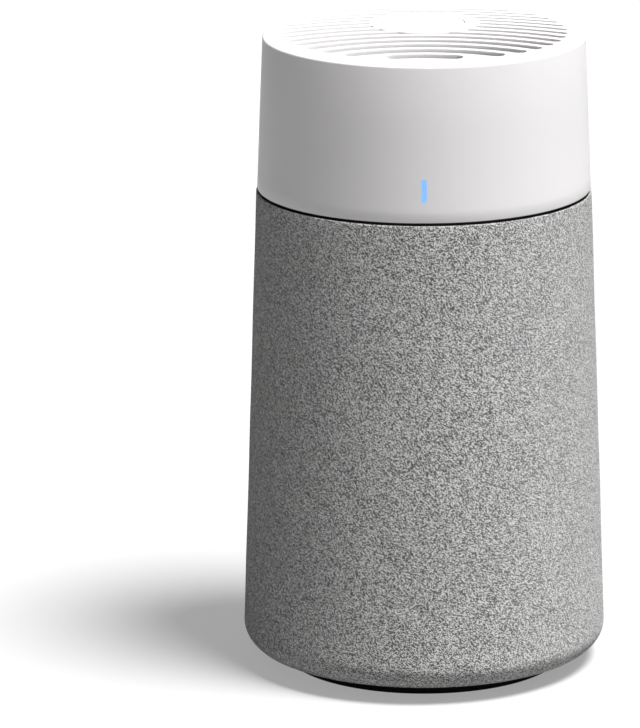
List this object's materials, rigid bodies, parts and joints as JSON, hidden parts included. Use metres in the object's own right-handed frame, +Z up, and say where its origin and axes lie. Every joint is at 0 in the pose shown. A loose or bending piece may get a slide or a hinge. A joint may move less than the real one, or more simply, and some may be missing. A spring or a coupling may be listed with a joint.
{
  "type": "air purifier",
  "caption": "Round tapered tabletop air purifier: white lift-off fan head with curved outlet slots, top button and indicator light, over a grey knit sleeve and a pleated ring filter.",
  "frame": {"origin": "on the floor, under the middle of the round foot", "axes": "+Z up along the body's axis, -Y towards the front with the indicator light, +X to the right seen from the front"},
  "size_m": [0.166, 0.166, 0.29],
  "materials": {
    "foot_rubber": "matt black moulded rubber",
    "base_plastic": "black moulded plastic, fine texture",
    "cage_plastic": "dark grey moulded plastic",
    "sleeve_fabric": "light grey heather knit",
    "elastic_tape": "grey woven elastic tape",
    "filter_plastic": "pale grey moulded plastic",
    "filter_paper": "pleated non-woven filter sheet",
    "carbon_felt": "black activated carbon felt",
    "glue_band": "white hot-melt band",
    "gasket_foam": "closed-cell foam",
    "head_plastic": "white satin moulded plastic",
    "button_plastic": "white satin moulded plastic",
    "chassis_plastic": "black moulded plastic",
    "fan_plastic": "white moulded plastic",
    "impeller_plastic": "pale grey moulded plastic",
    "screw_steel": "zinc plated",
    "motor_alloy": "die cast",
    "motor_steel": "stamped steel",
    "bearing_steel": "ground steel",
    "copper_wire": "enamelled copper wire",
    "magnet_ferrite": "sintered ferrite",
    "circuit_board": "green solder mask",
    "switch_plastic": "black nylon",
    "indicator_lens": "translucent diffuser lit blue",
    "led_resin": "clear resin",
    "lead_insulation": "flexible insulation",
    "socket_plastic": "black moulded plastic"
  },
  "bodies": {
    "base": {"foot_ring": "foot_rubber", "base_pan": "base_plastic", "base_screws": "screw_steel", "intake_cage": "cage_plastic", "fabric_sleeve": "sleeve_fabric", "sleeve_top_elastic": "elastic_tape", "sleeve_bottom_elastic": "elastic_tape"},
    "filter": {"filter_bottom_cap": "filter_plastic", "filter_media": "filter_paper", "filter_carbon_sleeve": "carbon_felt", "filter_bands": "glue_band", "filter_top_cap": "filter_plastic", "filter_gasket": "gasket_foam"},
    "head": {"head_shell": "head_plastic", "head_chassis": "chassis_plastic", "chassis_screws": "screw_steel", "inlet_guard": "chassis_plastic", "inlet_bell": "chassis_plastic", "fan_housing": "fan_plastic", "motor_base": "motor_alloy", "motor_screws": "screw_steel", "stator_core": "motor_steel", "stator_windings": "copper_wire", "motor_board": "circuit_board", "lower_bearing": "bearing_steel", "upper_bearing": "bearing_steel", "control_board": "circuit_board", "control_board_screws": "screw_steel", "control_cover": "chassis_plastic", "tact_switch": "switch_plastic", "indicator_window": "indicator_lens", "indicator_board": "circuit_board", "indicator_leds": "led_resin", "indicator_lead": "lead_insulation", "power_socket": "socket_plastic", "power_socket_nut": "bearing_steel", "power_lead": "lead_insulation", "motor_lead": "lead_insulation"},
    "rotor": {"impeller": "impeller_plastic", "rotor_yoke": "motor_steel", "rotor_magnet": "magnet_ferrite", "motor_shaft": "bearing_steel"},
    "button": {"control_button": "button_plastic", "switch_plunger": "switch_plastic"}
  },
  "joints": [
    {"name": "head_lift", "type": "slide", "parent": "base", "child": "head", "axis": [0, 0, 1], "range_m": [0, 0.44]},
    {"name": "filter_lift", "type": "slide", "parent": "base", "child": "filter", "axis": [0, 0, 1], "range_m": [0, 0.2112]},
    {"name": "fan_spin", "type": "hinge", "parent": "head", "child": "rotor", "pos_m": [0, 0, 0.24], "axis": [0, 0, 1], "continuous": true},
    {"name": "button_press", "type": "slide", "parent": "head", "child": "button", "axis": [0, 0, -1], "range_m": [0, 0.0008], "stiffness_N_per_m": 1500, "springref_m": -0.0006}
  ],
  "couplings": [
    {"joint": "filter_lift", "follows": "head_lift", "ratio": 0.48}
  ]
}
